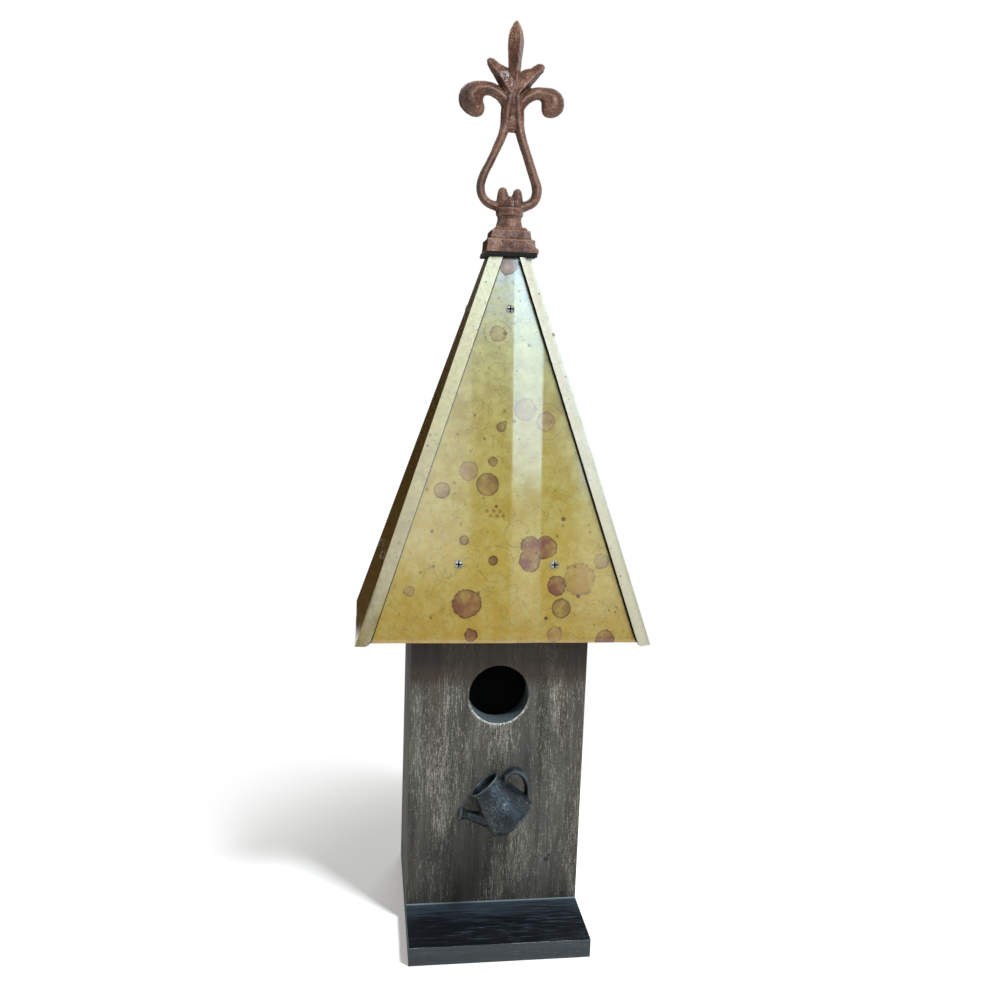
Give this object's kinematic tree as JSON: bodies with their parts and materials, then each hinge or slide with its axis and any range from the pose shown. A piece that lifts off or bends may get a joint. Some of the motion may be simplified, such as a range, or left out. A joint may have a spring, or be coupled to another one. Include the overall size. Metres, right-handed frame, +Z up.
{
  "type": "birdhouse",
  "caption": "Tall timber nesting box on a base board that forms a porch, under a steep four-sided sheet metal roof with a finial, with a perch and a hinged clean-out door at the back.",
  "frame": {"origin": "on the underside of the base board, below the middle of the timber box", "axes": "+Z up, the front with the entrance faces -Y, +X to the right when looking at the front"},
  "size_m": [0.1834, 0.149, 0.5652],
  "materials": {
    "weathered_timber": "grey-brown stain, brushed with pale grey",
    "painted_timber": "black-blue paint, semi-gloss on top",
    "bare_timber": "bare pine",
    "brass_sheet": "patinated with brown spots",
    "rusted_iron": "rust brown, pitted",
    "pewter": "dark charcoal, pitted",
    "zinc_steel": "zinc plated",
    "brass_hardware": "lightly tarnished"
  },
  "bodies": {
    "root": {"front_wall": "weathered_timber", "back_wall": "weathered_timber", "left_wall": "weathered_timber", "right_wall": "weathered_timber", "base_board": "painted_timber", "roof_plate": "bare_timber", "king_post": "bare_timber", "cap_block": "bare_timber", "roof_front_panel": "brass_sheet", "roof_back_panel": "brass_sheet", "roof_left_panel": "brass_sheet", "roof_right_panel": "brass_sheet", "finial": "rusted_iron", "watering_can_perch": "pewter", "base_screws": "zinc_steel", "wall_brads": "zinc_steel", "plate_screws": "zinc_steel", "post_screw": "zinc_steel", "roof_screws": "zinc_steel", "finial_stud": "zinc_steel", "perch_washer": "zinc_steel", "perch_screw": "zinc_steel", "wall_leaf_screws": "zinc_steel", "button_washer": "zinc_steel", "button_screw": "zinc_steel", "upper_hinge_wall_leaf": "brass_hardware", "upper_hinge_pin": "brass_hardware", "lower_hinge_wall_leaf": "brass_hardware", "lower_hinge_pin": "brass_hardware"},
    "door": {"clean_out_door": "weathered_timber", "upper_hinge_door_leaf": "brass_hardware", "lower_hinge_door_leaf": "brass_hardware", "door_leaf_screws": "zinc_steel"},
    "button": {"turn_button": "brass_hardware"}
  },
  "joints": [
    {"name": "door_swing", "type": "hinge", "parent": "root", "child": "door", "pos_m": [0.0306, 0.04665, 0.07], "axis": [0, 0, -1], "range_deg": [0, 150]},
    {"name": "button_turn", "type": "hinge", "parent": "root", "child": "button", "pos_m": [-0.0375, 0.0445, 0.07], "axis": [0, 1, 0], "range_deg": [0, 90]}
  ]
}
